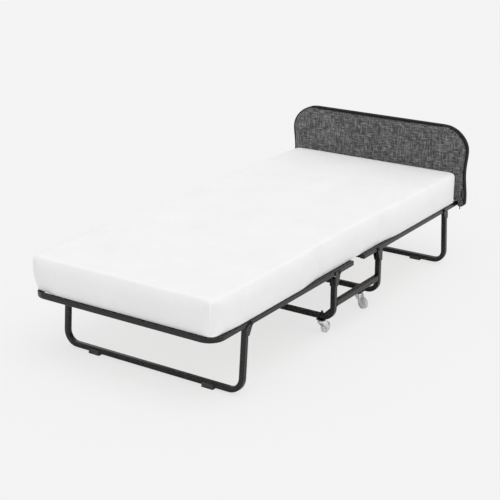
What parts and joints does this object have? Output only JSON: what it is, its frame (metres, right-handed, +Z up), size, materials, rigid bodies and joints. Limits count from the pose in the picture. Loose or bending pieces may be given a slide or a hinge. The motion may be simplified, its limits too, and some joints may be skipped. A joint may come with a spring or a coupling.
{
  "type": "folding cot",
  "caption": "Folding guest bed: black tube half frames hinged on a castor base, fold-away end legs, slatted deck, white mattress and a dark felt headboard.",
  "frame": {"origin": "on the floor, at the middle of the frame's length and width, below the fold", "axes": "+X from the foot end to the head end, +Z up, +Y to the left seen from the foot"},
  "size_m": [2.1, 0.937, 0.655],
  "materials": {
    "black_tube": "semi-gloss powder coat",
    "dark_bolts": "blackened steel",
    "black_plastic": "moulded",
    "slat_wood": "lacquered laminated birch",
    "zinc_steel": "zinc plated",
    "clear_wheel": "clear moulded",
    "mattress_cover": "plain woven cotton",
    "headboard_felt": "melange felt",
    "panel_board": "raw board",
    "zip_metal": "dark nickel"
  },
  "bodies": {
    "base": {"base_loop_foot": "black_tube", "base_loop_head": "black_tube", "base_bars": "black_tube", "castor_tube": "black_tube", "corner_gussets": "black_tube", "hinge_plates_foot": "black_tube", "hinge_plates_head": "black_tube", "pivot_bolts_foot": "dark_bolts", "pivot_bolts_head": "dark_bolts", "castor_mounts_foot": "black_tube", "castor_mounts_head": "black_tube", "mattress_middle": "mattress_cover"},
    "foot_half": {"foot_rail": "black_tube", "foot_end_bar": "black_tube", "foot_rail_caps": "black_plastic", "foot_slat_holders": "black_plastic", "mattress_foot": "mattress_cover", "foot_slat_1": "slat_wood", "foot_slat_2": "slat_wood", "foot_slat_3": "slat_wood", "foot_slat_4": "slat_wood", "foot_slat_5": "slat_wood", "foot_slat_6": "slat_wood"},
    "foot_leg": {"foot_leg_loop": "black_tube", "foot_leg_plates": "black_tube", "foot_leg_bolts": "dark_bolts", "foot_leg_pads": "black_plastic"},
    "head_half": {"head_rail": "black_tube", "head_end_bar": "black_tube", "head_rail_caps": "black_plastic", "head_slat_holders": "black_plastic", "mattress_head": "mattress_cover", "head_slat_1": "slat_wood", "head_slat_2": "slat_wood", "head_slat_3": "slat_wood", "head_slat_4": "slat_wood", "head_slat_5": "slat_wood", "head_slat_6": "slat_wood", "headboard_loop": "black_tube", "headboard_core": "panel_board", "headboard_cover": "headboard_felt", "headboard_bolts": "dark_bolts", "headboard_zip_pull": "zip_metal"},
    "head_leg": {"head_leg_loop": "black_tube", "head_leg_plates": "black_tube", "head_leg_bolts": "dark_bolts", "head_leg_pads": "black_plastic"},
    "castor_foot_right": {"castor_fork_foot_right": "zinc_steel", "castor_axle_foot_right": "zinc_steel"},
    "wheel_foot_right": {"castor_wheel_foot_right": "clear_wheel"},
    "castor_foot_left": {"castor_fork_foot_left": "zinc_steel", "castor_axle_foot_left": "zinc_steel"},
    "wheel_foot_left": {"castor_wheel_foot_left": "clear_wheel"},
    "castor_head_right": {"castor_fork_head_right": "zinc_steel", "castor_axle_head_right": "zinc_steel"},
    "wheel_head_right": {"castor_wheel_head_right": "clear_wheel"},
    "castor_head_left": {"castor_fork_head_left": "zinc_steel", "castor_axle_head_left": "zinc_steel"},
    "wheel_head_left": {"castor_wheel_head_left": "clear_wheel"}
  },
  "joints": [
    {"name": "foot_fold", "type": "hinge", "parent": "base", "child": "foot_half", "pos_m": [-0.1677, 0, 0.285], "axis": [0, 1, 0], "range_deg": [0, 80], "deforming": ["mattress_middle"]},
    {"name": "head_fold", "type": "hinge", "parent": "base", "child": "head_half", "pos_m": [0.1677, 0, 0.285], "axis": [0, -1, 0], "range_deg": [0, 80], "deforming": ["mattress_middle"]},
    {"name": "foot_leg_fold", "type": "hinge", "parent": "foot_half", "child": "foot_leg", "pos_m": [-0.816, 0, 0.285], "axis": [0, -1, 0], "range_deg": [0, 95]},
    {"name": "head_leg_fold", "type": "hinge", "parent": "head_half", "child": "head_leg", "pos_m": [0.816, 0, 0.285], "axis": [0, 1, 0], "range_deg": [0, 95]},
    {"name": "castor_swivel_foot_right", "type": "hinge", "parent": "base", "child": "castor_foot_right", "pos_m": [-0.19, -0.3755, 0.06], "axis": [0, 0, 1], "continuous": true},
    {"name": "wheel_spin_foot_right", "type": "hinge", "parent": "castor_foot_right", "child": "wheel_foot_right", "pos_m": [-0.16, -0.3755, 0.025], "axis": [0, 1, 0], "continuous": true},
    {"name": "castor_swivel_foot_left", "type": "hinge", "parent": "base", "child": "castor_foot_left", "pos_m": [-0.19, 0.3755, 0.06], "axis": [0, 0, 1], "continuous": true},
    {"name": "wheel_spin_foot_left", "type": "hinge", "parent": "castor_foot_left", "child": "wheel_foot_left", "pos_m": [-0.16, 0.3755, 0.025], "axis": [0, 1, 0], "continuous": true},
    {"name": "castor_swivel_head_right", "type": "hinge", "parent": "base", "child": "castor_head_right", "pos_m": [0.168, -0.3505, 0.06], "axis": [0, 0, 1], "continuous": true},
    {"name": "wheel_spin_head_right", "type": "hinge", "parent": "castor_head_right", "child": "wheel_head_right", "pos_m": [0.15774, -0.37869, 0.025], "axis": [0.9397, -0.342, 0], "continuous": true},
    {"name": "castor_swivel_head_left", "type": "hinge", "parent": "base", "child": "castor_head_left", "pos_m": [0.168, 0.3505, 0.06], "axis": [0, 0, 1], "continuous": true},
    {"name": "wheel_spin_head_left", "type": "hinge", "parent": "castor_head_left", "child": "wheel_head_left", "pos_m": [0.15774, 0.32231, 0.025], "axis": [0.9397, -0.342, 0], "continuous": true}
  ]
}
